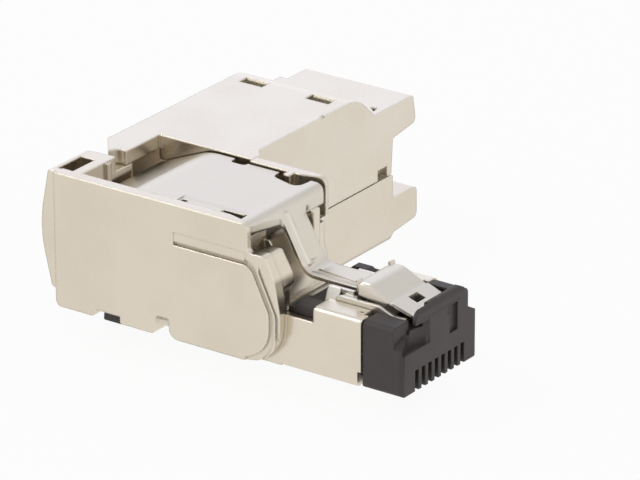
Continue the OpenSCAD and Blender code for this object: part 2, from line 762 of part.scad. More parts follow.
module contact(i) {
    y = (i - 1 - (contact_count - 1) / 2) * contact_pitch;
    color("#d9b45a") in_frame() across(y - contact_t / 2, y + contact_t / 2) polygon(outline([
        [-contact_tip, contact_h, 0.3], [-contact_tip - contact_len, contact_h, 0.3],
        [-contact_tip - contact_len, board_h - 0.8, 0.2], [-contact_back, board_h - 0.8],
        [-contact_back, board_h], [-contact_tip, board_h, 0.3]
    ], 4));
}

// Top line of the latch seen from the side
function latch_path() = bent([
    [-well_back + 0.55, press_h - press_drop], [-well_back + 7.1, press_h, 6],
    [-wall_back - 0.55, press_h, 1], [-wall_back + 0.4, press_h - 1.8, 1.2],
    [-shell_back - 0.4, neck_h, 1.6], [-tongue_back - 0.35, neck_h, 0.4],
    [-tongue_back, tongue_h, 0.6], [-tongue_back + 1.4, tongue_h, 1.5],
    [-tongue_back + 3.6, tongue_h - 1.05, 2], [-hood_t, tongue_h - 2]
]);

// Notch in the edge of the press plate, open towards the wall
module plate_notch(x0, x1, rear_y, front_y, r, wall) {
    polygon(outline([[x0 - 0.2, wall], [x0, rear_y, r], [x1, front_y, r], [x1 + 0.3, wall]]));
}

// Plan of the flat latch blank
module latch_plan() {
    front = -wall_back;
    rear = -well_back + 0.4;
    cover_edge = well_y - run_gap - fit_gap;
    step = -tongue_back - 0.1;
    tip = -bridge_t - run_gap;
    near_tip = -hood_t - run_gap;
    difference() {
        polygon(outline([
            [rear, -press_near, 1], [front - 0.4, -press_near, 0.5], [front - 0.05, -neck_w / 2, 0.4],
            [step, -neck_w / 2], [step, -tongue_w / 2, 0.3], [near_tip, -tongue_w / 2 + 0.1, 0.3],
            [near_tip, -hood_end - run_gap, 0.2], [tip, -hood_end - run_gap + 0.2],
            [tip, tongue_w / 2 - 0.1, 0.3], [step, tongue_w / 2, 0.3], [step, neck_w / 2],
            [front - 0.05, neck_w / 2, 0.4], [front - 0.05, press_far, 0.5], [-far_end_back - 0.8, press_far],
            [-far_end_back - 0.8, cover_edge], [rear, cover_edge, 0.6]
        ]));
        // shallow notches at the near wall
        plate_notch(-wall_back - 4.2, -wall_back - 1.6, -press_near + 0.7, -press_near + 0.7, 0.2, -half_w);
        plate_notch(-far_end_back, -far_end_back + 0.6, -press_near + 0.6, -press_near + 0.6, 0.1, -half_w);
        // notches at the far wall, the longer one round the rib
        plate_notch(-far_end_back - 1.65, -far_end_back - 0.05, press_far - 0.5, press_far - 0.5, 0.4, half_w);
        plate_notch(-rib_back - rib_t - 0.75, -rib_back + 1.9, press_far - 1.1, press_far - 2.05, 0.8, half_w);
        // square hole in the tongue
        translate([-pivot_back - 0.95, -tongue_hole_w / 2]) square([tongue_hole_l, tongue_hole_w]);
    }
}

// Round rib pressed into the sloping neck
module neck_rib(top, foot, r) {
    run = top - foot;
    sink = [unit(run).y, -unit(run).x] * (r - neck_rib_rise);
    low = foot - sink;
    translate([low.x, -neck_w / 4, low.y]) rotate([0, atan2(run.x, run.y), 0]) {
        cylinder(r = r, h = norm(run));
        sphere(r = r);
        translate([0, 0, norm(run)]) sphere(r = r);
    }
}

// Ridge pressed along the near side of the flat neck
module neck_ridge(r) {
    intersection() {
        translate([-shell_back - 0.2, -neck_w * 0.36, neck_h + ridge_rise - r]) rotate([0, 90, 0])
            cylinder(r = r, h = shell_back - tongue_back - 0.5);
        box(-shell_back, 0, -neck_w / 2, 0, neck_h - sheet_t / 2, tongue_h);
    }
}

// Bar set on its edge between two points of the side view, for the slant across a fold
module fold_bar(from, to) {
    run = to - from;
    mid = (from + to) / 2;
    translate([mid.x, tongue_w / 2, mid.y]) rotate([0, -atan2(run.y, run.x), 0]) rotate([45, 0, 0])
        cube([norm(run) + 0.4, fold_slant, fold_slant], center = true);
}

// Turned-down edge of the tongue seen from the side
module tongue_fold() {
    polygon([
        [-tongue_back + 0.2, tongue_h - 0.1], [-tongue_back + 0.2, tongue_h - fold_depth],
        [-tongue_back + 3.05, tongue_h - fold_depth - 0.35], [-tongue_back + 3.5, tongue_h - fold_depth + 0.05],
        [-tongue_back + 1.4, tongue_h - 0.15]
    ]);
}

module latch_lever() {
    shoulder = [-tongue_back, tongue_h];
    crest = [-tongue_back + 1.4, tongue_h];
    slope_end = [-tongue_back + 3.6, tongue_h - 1.05];
    color("#c8c4c1") in_frame() {
        difference() {
            union() {
                intersection() {
                    across(-half_w, half_w) polygon(sheet(latch_path(), -sheet_t));
                    upright(0, body_top + 1) latch_plan();
                }
                both_sides() across(tongue_w / 2 - sheet_t, tongue_w / 2) tongue_fold();
            }
            both_sides() fold_bar(shoulder, crest);
            both_sides() fold_bar(crest, slope_end);
            // groove along the neck
            upright(neck_h - groove_depth, tongue_h) polygon([
                [-shell_back + 0.1, -0.5], [-tongue_back - 1.3, -1],
                [-tongue_back - 1.3, -0.6], [-shell_back + 0.1, -0.15]
            ]);
            // pressed margin along the near edge of the plate
            along(-far_end_back - 0.25, -wall_back - 1.9) polygon([
                [-half_w, press_h - margin_depth], [-press_near + 0.8, press_h - margin_depth],
                [-press_near + 1.4, press_h + skin], [-half_w, press_h + skin]
            ]);
        }
        neck_rib([-wall_back - 0.15, press_h - 0.9], [-shell_back - 0.75, neck_h + 0.6], 0.5);
        neck_ridge(0.6);
        // curls at the rear corners of the tongue
        both_sides() translate([-tongue_back + 0.12, tongue_w / 2 - 0.05, tongue_h]) rotate([90, 0, 0])
            cylinder(d = curl_d, h = 0.55);
        // rolled bead on the pivot line
        translate([-pivot_back, 0, pivot_h]) rotate([90, 0, 0])
            cylinder(d = bead_d, h = tongue_w - 2 * bead_inset, center = true);
    }
}

// Arched leaf that carries the latch, with a wing on each side of the neck
module latch_spring() {
    half = shell_in - shell_lip - fit_gap;
    low = carrier_top + fit_gap;
    top = low + spring_rise;
    wing_top = top + wing_rise;
    wing_in = neck_w / 2 + run_gap + fit_gap;
    rear = -tongue_back - spring_over;
    wing = bent([
        [rear, low + spring_t + fit_gap], [rear + 0.6, wing_top, spring_bend],
        [-tongue_back - 0.5, wing_top - 0.05, spring_bend], [-tongue_back + 0.1, top]
    ]);
    color("#bdb9b6") in_frame() {
        difference() {
            union() {
                along(-tongue_back - 0.6, -spring_front) difference() {
                    polygon(outline([[-half, low], [-half, top, 0.25], [half, top, 0.25], [half, low]], 4));
                    translate([-half + spring_t, low - 1])
                        square([2 * (half - spring_t), 1 + spring_rise - spring_t]);
                }
                both_sides() across(half - spring_t, half) polygon(outline([
                    [rear + 0.4, low], [rear + 0.4, top + side_rise, 0.6],
                    [-tongue_back + 2.8, top + side_rise, 1.2],
                    [-spring_front - 0.8, top - 0.1, 0.4], [-spring_front - 0.8, low]
                ]));
            }
            // room for the neck
            box(-shell_back, -tongue_back + 0.3, -channel_y, channel_y, 0, body_top);
            // room for the bead and the arm of the bridge
            box(-pivot_back - 0.85, 0, -tongue_w / 2 - 0.15, tongue_w / 2, 0, body_top);
            box(-arm_len - 0.1, 0, tongue_w / 2 - 0.2, half_w, 0, body_top);
        }
        both_sides() across(wing_in, half) polygon(sheet(wing, -spring_t));
        // guard beside the neck
        both_sides() box(rear - 1, -tongue_back - 0.6, wing_in, wing_in + spring_t, low, wing_top + guard_rise);
    }
}

module circuit_board() {
    color("#2f5d3a") in_frame() {
        box(-board_back, -shell_back - run_gap, -board_w / 2, board_w / 2, board_h, board_top);
        box(-shell_back - run_gap - skin, -board_front, -board_nose_w / 2, board_nose_w / 2,
            board_h, board_top);
    }
}

// Two rows of four terminals
function blade_place(i) =
    let (row = (block_back - block_front) / 4)
    [i < 4 ? row - block_back : 3 * row - block_back, (i % 4 - 1.5) * wire_pitch];

module terminal_block() {
    color("#e4e1d8") in_frame() difference() {
        box(-block_back, -block_front, -board_w / 2 - 0.2, board_w / 2 + 0.2, board_top, block_top);
        for (i = [0:7]) translate(concat(blade_place(i), board_top)) {
            translate([-blade_t / 2 - fit_gap, -0.85, -1]) cube([blade_t + 2 * fit_gap, 1.7, block_h + 2]);
            translate([-1.2, -0.5, block_h - 1.6]) cube([2.4, 1, 3]);
        }
        box(-block_back - 1, -board_back, -half_w, half_w, 0, board_top + 0.01);
    }
}

module wire_blade(i) {
    color("#cfcac2") in_frame() translate(concat(blade_place(i - 1), board_top)) difference() {
        translate([-blade_t / 2, -0.8, 0]) cube([blade_t, 1.6, block_h - 0.2]);
        // cutting slot
        translate([-1, -0.15, block_h - 1.6]) cube([2, 0.3, 3]);
    }
}

module wire_cap() {
    color("#e9e6de") in_frame() difference() {
        along(-block_back - 0.4, -block_front) polygon(outline([
            [-board_w / 2 - 0.2, block_top], [board_w / 2 + 0.2, block_top],
            [board_w / 2 + 0.2, cap_top, 0.5], [-board_w / 2 - 0.2, cap_top, 0.5]
        ]));
        // wire channels
        for (i = [0:3]) translate([-block_back - 1, (i - 1.5) * wire_pitch, block_top])
            rotate([0, 90, 0]) cylinder(d = wire_d, h = block_back);
    }
}

// Half ring that presses on the cable screen
module screen_clamp(side) {
    color("#c9a66b") in_frame() intersection() {
        difference() {
            cable_bore(cable_d + 2 * clamp_t, clamp_mid - clamp_len / 2, clamp_mid + clamp_len / 2);
            cable_bore(cable_d, clamp_mid - clamp_len, clamp_mid + clamp_len);
        }
        box(outlet_x0, outlet_x1, clamp_mid - clamp_len, clamp_mid + clamp_len,
            side > 0 ? split_h : cable_h - cable_d, side > 0 ? cable_h + cable_d : base_top);
    }
}

plug_housing();
cable_cover();
cable_base();
base_lock_tab();
contact_carrier();
for (i = [1:8]) contact(i);
latch_lever();
latch_spring();
circuit_board();
terminal_block();
for (i = [1:8]) wire_blade(i);
wire_cap();
screen_clamp(-1);  // screen_clamp_lower
screen_clamp(1);  // screen_clamp_upper
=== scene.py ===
import json
import math

import bmesh
import bpy
from mathutils import Euler, Matrix, Vector


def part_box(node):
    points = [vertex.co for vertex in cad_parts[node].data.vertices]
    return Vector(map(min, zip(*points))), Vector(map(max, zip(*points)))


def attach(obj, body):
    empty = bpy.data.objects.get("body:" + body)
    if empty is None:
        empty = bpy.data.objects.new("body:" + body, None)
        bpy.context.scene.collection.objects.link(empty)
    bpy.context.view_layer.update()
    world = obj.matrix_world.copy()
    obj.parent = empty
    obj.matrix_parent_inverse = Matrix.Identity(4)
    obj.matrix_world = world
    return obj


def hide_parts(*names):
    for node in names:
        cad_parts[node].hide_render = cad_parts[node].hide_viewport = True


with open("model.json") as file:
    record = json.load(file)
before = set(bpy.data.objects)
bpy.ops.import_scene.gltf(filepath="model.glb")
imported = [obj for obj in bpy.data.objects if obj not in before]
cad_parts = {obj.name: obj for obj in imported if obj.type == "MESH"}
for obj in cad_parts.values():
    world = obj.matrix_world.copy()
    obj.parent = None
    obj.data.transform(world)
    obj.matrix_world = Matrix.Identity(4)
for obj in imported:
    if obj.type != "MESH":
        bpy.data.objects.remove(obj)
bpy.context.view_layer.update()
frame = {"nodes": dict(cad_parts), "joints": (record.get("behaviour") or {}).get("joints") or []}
scene = bpy.context.scene
nodes = frame["nodes"]
hinge = Vector(frame["joints"][0]["pos_m"])
mm = 0.001
print("frame loaded with", len(nodes), "pieces")


# camera at the photograph's viewing angle
photoCamera = {
    "place": (0.2564469, -0.365160, 0.195469),
    "azimuth": 35.3686,  # degrees, like the next two
    "elevation": 22.928,
    "roll": -0.1467,
    "lens": 296.85,
    "sensor": 36.0,
    "clip": (0.01, 20.0),
}


def makeCamera(c):
    data = bpy.data.cameras.new("photoCamera")
    data.lens = c["lens"]
    data.sensor_width = c["sensor"]
    data.clip_start, data.clip_end = c["clip"]
    cam = bpy.data.objects.new("photoCamera", data)
    tilt = math.radians(90 - c["elevation"])
    aim = Euler((tilt, 0, math.radians(c["azimuth"]))).to_matrix().to_4x4()
    roll = Matrix.Rotation(math.radians(c["roll"]), 4, "Z")
    cam.matrix_world = Matrix.Translation(c["place"]) @ aim @ roll
    scene.collection.objects.link(cam)
    scene.camera = cam


makeCamera(photoCamera)
scene.view_settings.view_transform = "Standard"
print("camera placed")


# node helpers
def addNode(tree, kind, **values):
    node = tree.nodes.new(kind)
    for key, value in values.items():
        setattr(node, key, value)
    return node


def feed(tree, socket, value):
    if isinstance(value, bpy.types.NodeSocket):
        tree.links.new(value, socket)
    else:
        socket.default_value = value


def mathNode(tree, operation, a, b):
    node = addNode(tree, "ShaderNodeMath", operation=operation)
    feed(tree, node.inputs[0], a)
    feed(tree, node.inputs[1], b)
    return node.outputs[0]


def rangeNode(tree, value, fromMin, fromMax, toMin=0.0, toMax=1.0):
    node = addNode(tree, "ShaderNodeMapRange", clamp=True)
    feed(tree, node.inputs["Value"], value)
    feed(tree, node.inputs["From Min"], fromMin)
    feed(tree, node.inputs["From Max"], fromMax)
    feed(tree, node.inputs["To Min"], toMin)
    feed(tree, node.inputs["To Max"], toMax)
    return node.outputs["Result"]


mixSockets = {"factor": 0, "a": 6, "b": 7, "result": 2}  # where a Mix node keeps its colours


def mixColour(tree, factor, a, b):
    node = addNode(tree, "ShaderNodeMix", data_type="RGBA")
    feed(tree, node.inputs[mixSockets["factor"]], factor)
    feed(tree, node.inputs[mixSockets["a"]], a)
    feed(tree, node.inputs[mixSockets["b"]], b)
    return node.outputs[mixSockets["result"]]


def noiseNode(tree, vector, scale, detail, rough):
    node = addNode(tree, "ShaderNodeTexNoise")
    feed(tree, node.inputs["Vector"], vector)
    feed(tree, node.inputs["Scale"], scale)
    feed(tree, node.inputs["Detail"], detail)
    feed(tree, node.inputs["Roughness"], rough)
    return node.outputs["Fac"]


def newGroup(name, inputs, outputs):
    group = bpy.data.node_groups.new(name, "ShaderNodeTree")
    for label, kind in inputs.items():
        group.interface.new_socket(label, in_out="INPUT", socket_type="NodeSocket" + kind)
    for label, kind in outputs.items():
        group.interface.new_socket(label, in_out="OUTPUT", socket_type="NodeSocket" + kind)
    given = group.nodes.new("NodeGroupInput").outputs
    out = group.nodes.new("NodeGroupOutput").inputs
    return group, given, out


def placeGroup(tree, group, **values):
    node = addNode(tree, "ShaderNodeGroup", node_tree=group)
    for label, value in values.items():
        feed(tree, node.inputs[label], value)
    return node.outputs


# blotches, pin specks and fine grain of a cast or moulded skin
skinGrain = {
    "blotchDetail": 4.0,
    "blotchRough": 0.55,
    "blotchRange": (0.42, 0.72),
    "blotchMiddle": 0.5,
    "blotchShare": 0.45,
    "grainDetail": 2.0,
    "grainRough": 0.6,
    "grainHeight": 0.6,
    "speckScale": 620.0,
    "speckEdge": (0.05, 0.09),
    "speckFrom": 0.58,  # specks lie only where the blotches are strong
    "speckShare": 0.6,
    "speckHeight": -0.8,
}


def makeCastSkin(c):
    group, given, out = newGroup("castSkin", {
        "Tint": "Color",
        "Shade": "Color",
        "BlotchScale": "Float",
        "GrainScale": "Float",
        "Rough": "Float",
        "RoughSpread": "Float",
    }, {"Color": "Color", "Roughness": "Float", "Height": "Float"})
    where = addNode(group, "ShaderNodeTexCoord").outputs["Object"]
    blotch = noiseNode(group, where, given["BlotchScale"], c["blotchDetail"], c["blotchRough"])
    grain = noiseNode(group, where, given["GrainScale"], c["grainDetail"], c["grainRough"])
    speck = addNode(group, "ShaderNodeTexVoronoi", feature="F1")
    feed(group, speck.inputs["Vector"], where)
    feed(group, speck.inputs["Scale"], c["speckScale"])
    pin = rangeNode(group, speck.outputs["Distance"], *c["speckEdge"], 1.0, 0.0)
    pin = mathNode(group, "MULTIPLY", pin, mathNode(group, "GREATER_THAN", blotch, c["speckFrom"]))
    cloud = mathNode(group, "MULTIPLY", rangeNode(group, blotch, *c["blotchRange"]), c["blotchShare"])
    tone = mathNode(group, "MAXIMUM", cloud, mathNode(group, "MULTIPLY", pin, c["speckShare"]))
    feed(group, out["Color"], mixColour(group, tone, given["Tint"], given["Shade"]))
    drift = mathNode(group, "SUBTRACT", blotch, c["blotchMiddle"])
    drift = mathNode(group, "MULTIPLY", drift, given["RoughSpread"])
    feed(group, out["Roughness"], mathNode(group, "ADD", given["Rough"], drift))
    grit = mathNode(group, "MULTIPLY", grain, c["grainHeight"])
    pits = mathNode(group, "MULTIPLY", pin, c["speckHeight"])
    feed(group, out["Height"], mathNode(group, "ADD", grit, pits))
    return group


# painted shading where other surfaces close a place in: ambient occlusion mixes in the recess colour,
# darker as painted shade, lighter as painted light
recessView = {"samples": 8}


def makePaintedRecessShading(c):
    group, given, out = newGroup("paintedRecessShading", {
        "Color": "Color",
        "Deep": "Color",
        "Open": "Float",
        "Closed": "Float",
        "Reach": "Float",
    }, {"Color": "Color", "Mask": "Float"})
    shade = addNode(group, "ShaderNodeAmbientOcclusion", samples=c["samples"])
    feed(group, shade.inputs["Distance"], given["Reach"])
    # painted shading: the mask is 1 where other surfaces close the place in, and the recess colour takes
    # over there
    mask = rangeNode(group, shade.outputs["AO"], given["Closed"], given["Open"], 1.0, 0.0)
    feed(group, out["Color"], mixColour(group, mask, given["Color"], given["Deep"]))
    feed(group, out["Mask"], mask)
    return group


# rounded edges, and a mask for a painted highlight along them
edgeTurn = {
    "samples": 6,
    "cosine": (0.7, 0.98),  # of the rounded surface against the flat one
}


def makeEdgeRoundAndHighlight(c):
    group, given, out = newGroup("edgeRoundAndHighlight", {"Radius": "Float"}, {"Mask": "Float", "Normal": "Vector"})
    rounded = addNode(group, "ShaderNodeBevel", samples=c["samples"])
    feed(group, rounded.inputs["Radius"], given["Radius"])
    dot = addNode(group, "ShaderNodeVectorMath", operation="DOT_PRODUCT")
    feed(group, dot.inputs[0], rounded.outputs["Normal"])
    feed(group, dot.inputs[1], addNode(group, "ShaderNodeNewGeometry").outputs["Normal"])
    feed(group, out["Mask"], rangeNode(group, dot.outputs["Value"], *c["cosine"], 1.0, 0.0))
    feed(group, out["Normal"], rounded.outputs["Normal"])
    return group


castSkin = makeCastSkin(skinGrain)
paintedRecessShading = makePaintedRecessShading(recessView)
edgeRoundAndHighlight = makeEdgeRoundAndHighlight(edgeTurn)
print("shared effects ready")


def newMaterial(name, metallic, **constants):
    mat = bpy.data.materials.new(name)
    mat.use_nodes = True
    shader = mat.node_tree.nodes["Principled BSDF"]
    shader.inputs["Metallic"].default_value = metallic
    for key, value in constants.items():
        shader.inputs[key].default_value = value
    return mat, mat.node_tree, shader


def placeSkin(tree, p):
    return placeGroup(tree, castSkin, Tint=p["tint"], Shade=p["shade"], BlotchScale=p["blotch"],
                      GrainScale=p["grain"], Rough=p["rough"], RoughSpread=p["roughSpread"])


def placeRecessShading(tree, p, colour):
    return placeGroup(tree, paintedRecessShading, Color=colour, Deep=p["paintedRecess"], Open=p["open"],
                      Closed=p["closed"], Reach=p["reach"])


def finishSurface(tree, shader, p, colour, height):
    edge = placeGroup(tree, edgeRoundAndHighlight, Radius=p["edge"])
    # painted highlight along rounded edges: the edge mask mixes in the highlight colour
    share = mathNode(tree, "MULTIPLY", edge["Mask"], p["highlightShare"])
    feed(tree, shader.inputs["Base Color"], mixColour(tree, share, colour, p["highlightColour"]))
    bump = addNode(tree, "ShaderNodeBump")
    feed(tree, bump.inputs["Strength"], p["bump"])
    feed(tree, bump.inputs["Distance"], p["bumpDepth"])
    feed(tree, bump.inputs["Height"], height)
    feed(tree, bump.inputs["Normal"], edge["Normal"])
    feed(tree, shader.inputs["Normal"], bump.outputs["Normal"])


# cast metal with a warm bright plating
platingLook = {
    "tint": (0.71, 0.635, 0.525, 1),
    "shade": (0.64, 0.56, 0.44, 1),
    # painted highlight colour for rounded edges
    "highlightColour": (0.88, 0.83, 0.73, 1),
    "blotch": 160.0,
    "grain": 4200.0,
    "rough": 0.27,
    "roughSpread": 0.08,
    "coat": 0.6,
    "coatRough": 0.3,
    # painted shade in recesses: a darker colour mixed in by ambient occlusion
    "paintedRecess": (0.64, 0.57, 0.46, 1),
    "open": 0.6,
    "closed": 0.1,
    "reach": 2.0 * mm,
    "dull": 0.35,
    # painted shade in grooves: an olive dark colour mixed in by short-reach ambient occlusion
    "paintedGrooveShade": (0.34, 0.29, 0.185, 1),
    "grooveOpen": 0.88,
    "grooveClosed": 0.42,
    "grooveReach": 0.45 * mm,
    "edge": 0.30 * mm,
    "highlightShare": 0.55,
    "bump": 0.25,
    "bumpDepth": 0.02 * mm,
}
coverLook = {
    **platingLook,
    "tint": (0.715, 0.65, 0.55, 1),
    # painted light in recesses: lighter than the tint, mixed in by ambient occlusion
    "paintedRecess": (0.78, 0.72, 0.61, 1),
    "blotch": 130.0,
}
baseLook = {
    **platingLook,
    "tint": (0.70, 0.63, 0.525, 1),
    # painted light in recesses: a little lighter than the tint, mixed in by ambient occlusion
    "paintedRecess": (0.72, 0.65, 0.54, 1),
    "blotch": 145.0,
}


def makePlating(name, p):
    coat = {"Coat Weight": p["coat"], "Coat Roughness": p["coatRough"]}
    mat, tree, shader = newMaterial(name, 1.0, **coat)
    skin = placeSkin(tree, p)
    # painted shade in narrow grooves first
    groove = placeGroup(tree, paintedRecessShading, Color=skin["Color"], Deep=p["paintedGrooveShade"], Open=p["grooveOpen"],
                        Closed=p["grooveClosed"], Reach=p["grooveReach"])
    # painted shading in the wider recesses
    paintedRecess = placeRecessShading(tree, p, groove["Color"])
    dull = mathNode(tree, "MULTIPLY", paintedRecess["Mask"], p["dull"])
    feed(tree, shader.inputs["Roughness"], mathNode(tree, "ADD", skin["Roughness"], dull))
    finishSurface(tree, shader, p, paintedRecess["Color"], skin["Height"])
    return mat


housingPlating = makePlating("housingPlating", platingLook)
coverPlating = makePlating("coverPlating", coverLook)
basePlating = makePlating("basePlating", baseLook)
print("plating ready")


# cold rolled sheet with a fine grain along its length
latchLook = {
    "dark": (0.655, 0.605, 0.52, 1),
    "light": (0.71, 0.66, 0.58, 1),
    # painted highlight colour for rounded edges
    "highlightColour": (0.87, 0.84, 0.79, 1),
    "stretch": (0.06, 1.0, 1.0),
    "streak": 9000.0,
    "streakDetail": 4.0,
    "streakRough": 0.6,
    "streakShare": 0.5,
    "cloud": 220.0,
    "cloudDetail": 3.0,
    "cloudRough": 0.5,
    "cloudShare": 0.5,
    "toneRange": (0.3, 0.7),
    "rough": 0.31,
    "roughSpread": 0.05,
    # painted shade in recesses: a dark colour mixed in by ambient occlusion
    "paintedRecess": (0.17, 0.15, 0.125, 1),
    "open": 0.36,
    "closed": 0.05,
    "reach": 2.0 * mm,
    "edge": 0.16 * mm,
    "highlightShare": 0.4,
    "bump": 0.12,
    "bumpDepth": 0.01 * mm,
}
springLook = {
    **latchLook,
    "light": (0.76, 0.73, 0.68, 1),
    "dark": (0.70, 0.67, 0.615, 1),
    "cloud": 300.0,
}
bladeLook = {
    **latchLook,
    "light": (0.70, 0.69, 0.66, 1),
    "dark": (0.58, 0.57, 0.55, 1),
}
contactLook = {
    **latchLook,
    "light": (0.83, 0.60, 0.26, 1),
    "dark": (0.72, 0.50, 0.20, 1),
    "highlightColour": (0.95, 0.76, 0.42, 1),
    "paintedRecess": (0.2, 0.12, 0.04, 1),
    "rough": 0.25,
}
clampLook = {
    **latchLook,
    "light": (0.72, 0.53, 0.27, 1),
    "dark": (0.60, 0.42, 0.2, 1),
    "highlightColour": (0.85, 0.68, 0.4, 1),
    "paintedRecess": (0.16, 0.1, 0.04, 1),
}


def makeSheetMetal(name, p):
    mat, tree, shader = newMaterial(name, 1.0)
    where = addNode(tree, "ShaderNodeTexCoord").outputs["Object"]
    stretch = addNode(tree, "ShaderNodeMapping")
    feed(tree, stretch.inputs["Scale"], p["stretch"])
    feed(tree, stretch.inputs["Vector"], where)
    streak = noiseNode(tree, stretch.outputs["Vector"], p["streak"], p["streakDetail"], p["streakRough"])
    cloud = noiseNode(tree, where, p["cloud"], p["cloudDetail"], p["cloudRough"])
    tone = mathNode(tree, "ADD", mathNode(tree, "MULTIPLY", streak, p["streakShare"]),
                    mathNode(tree, "MULTIPLY", cloud, p["cloudShare"]))
    base = mixColour(tree, rangeNode(tree, tone, *p["toneRange"]), p["dark"], p["light"])
    # painted shade in recesses
    paintedRecess = placeRecessShading(tree, p, base)
    smooth = p["rough"] - p["roughSpread"]
    rough = p["rough"] + p["roughSpread"]
    feed(tree, shader.inputs["Roughness"], rangeNode(tree, tone, *p["toneRange"], smooth, rough))
    finishSurface(tree, shader, p, paintedRecess["Color"], streak)
    return mat


latchSteel = makeSheetMetal("latchSteel", latchLook)
springSteel = makeSheetMetal("springSteel", springLook)
bladeTin = makeSheetMetal("bladeTin", bladeLook)
contactGold = makeSheetMetal("contactGold", contactLook)
clampBrass = makeSheetMetal("clampBrass", clampLook)
print("sheet metals ready")


# moulded plastic with a spark eroded grain
noseLook = {
    "tint": (0.051, 0.041, 0.039, 1),
    "shade": (0.038, 0.031, 0.029, 1),
    # painted highlight colour for rounded edges
    "highlightColour": (0.080, 0.069, 0.068, 1),
    "blotch": 260.0,
    "grain": 9000.0,
    "rough": 0.52,
    "roughSpread": 0.12,
    "specular": 0.45,
    # painted shade in recesses: a darker colour mixed in by ambient occlusion
    "paintedRecess": (0.010, 0.008, 0.008, 1),
    "open": 0.8,
    "closed": 0.2,
    "reach": 2.0 * mm,
    "edge": 0.20 * mm,
    "highlightShare": 0.5,
    "bump": 0.35,
    "bumpDepth": 0.02 * mm,
}
tabLook = {
    **noseLook,
    "blotch": 310.0,
    "rough": 0.48,
}
blockLook = {
    **noseLook,
    "tint": (0.74, 0.72, 0.66, 1),
    "shade": (0.68, 0.66, 0.59, 1),
    "highlightColour": (0.8, 0.78, 0.73, 1),
    "paintedRecess": (0.45, 0.43, 0.38, 1),
}
capLook = {
    **blockLook,
    "tint": (0.79, 0.77, 0.72, 1),
    "blotch": 330.0,
}
boardLook = {
    **noseLook,
    "tint": (0.03, 0.11, 0.05, 1),
    "shade": (0.02, 0.085, 0.04, 1),
    "highlightColour": (0.35, 0.33, 0.2, 1),
    "paintedRecess": (0.01, 0.05, 0.02, 1),
    "rough": 0.35,
    "grain": 5200.0,
}


def makeMoulding(name, p):
    mat, tree, shader = newMaterial(name, 0.0, **{"Specular IOR Level": p["specular"]})
    skin = placeSkin(tree, p)
    # painted shade in recesses
    paintedRecess = placeRecessShading(tree, p, skin["Color"])
    feed(tree, shader.inputs["Roughness"], skin["Roughness"])
    finishSurface(tree, shader, p, paintedRecess["Color"], skin["Height"])
    return mat


nosePlastic = makeMoulding("nosePlastic", noseLook)
tabPlastic = makeMoulding("tabPlastic", tabLook)
blockPlastic = makeMoulding("blockPlastic", blockLook)
capPlastic = makeMoulding("capPlastic", capLook)
boardLaminate = makeMoulding("boardLaminate", boardLook)
print("mouldings ready")


contactCount = 8
finishes = {
    "plug_housing": housingPlating,
    "cable_cover": coverPlating,
    "cable_base": basePlating,
    "base_lock_tab": tabPlastic,
    "contact_carrier": nosePlastic,
    "latch_lever": latchSteel,
    "latch_spring": springSteel,
    "circuit_board": boardLaminate,
    "terminal_block": blockPlastic,
    "wire_cap": capPlastic,
    "screen_clamp_lower": clampBrass,
    "screen_clamp_upper": clampBrass,
}
for number in range(1, contactCount + 1):
    finishes[f"contact_{number}"] = contactGold
    finishes[f"wire_blade_{number}"] = bladeTin


def paint(node, mat):
    for place in node.material_slots:
        place.material = mat
    if not node.material_slots:
        node.data.materials.append(mat)


for name, mat in finishes.items():
    paint(nodes[name], mat)
print("finishes on", len(finishes), "pieces")


def finishPiece(name, shape, mat, body):
    mesh = bpy.data.meshes.new(name)
    shape.to_mesh(mesh)
    shape.free()
    mesh.materials.append(mat)
    piece = bpy.data.objects.new(name, mesh)
    scene.collection.objects.link(piece)
    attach(piece, body)
    return piece


# a node's mesh as one closed shape with whole flats
solid = {"weld": 0.001 * mm, "flat": math.radians(0.3)}


def takeSolid(name):
    shape = bmesh.new()
    shape.from_mesh(nodes[name].data)
    bmesh.ops.remove_doubles(shape, verts=shape.verts, dist=solid["weld"])
    bmesh.ops.dissolve_limit(shape, angle_limit=solid["flat"], verts=shape.verts, edges=shape.edges)
    return shape


# bends shade round and flats stay flat
def keepFlats(piece, crease):
    piece.data.shade_smooth()
    piece.data.set_sharp_from_angle(angle=crease)
    flats = piece.modifiers.new("flats", "WEIGHTED_NORMAL")
    flats.keep_sharp = True


# latch sheet with the near front corner of its press plate drawn out along the thin end of the wall
# and the rear bend of the plate set back
pressPlate = {
    "cornerRear": -15.34 * mm,  # places are from the hinge
    "cornerSide": 4.8 * mm,
    "cornerReach": 0.57 * mm,
    "cornerTaper": 0.25,
    "bendRear": -27.4 * mm,
    "bendFront": -24.5 * mm,
    "bendShift": -1.0 * mm,
    "crease": math.radians(35),
}


def makeLatchSheet(c):
    shape = takeSolid("latch_lever")
    for vert in shape.verts:
        along = vert.co.x - hinge.x
        run = along - c["cornerRear"]
        if run > 0 and vert.co.y < hinge.y - c["cornerSide"]:
            vert.co.y -= c["cornerReach"] + c["cornerTaper"] * run
        if c["bendRear"] < along < c["bendFront"]:
            vert.co.x += c["bendShift"]
    sheet = finishPiece("latchSheet", shape, latchSteel, "latch")
    keepFlats(sheet, c["crease"])
    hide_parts("latch_lever")


# nose with its long outer edges rounded
noseEdges = {
    "length": 0.9 * mm,
    "angle": math.radians(50),
    "radius": 0.16 * mm,
    "segments": 3,
    "crease": math.radians(32),
}


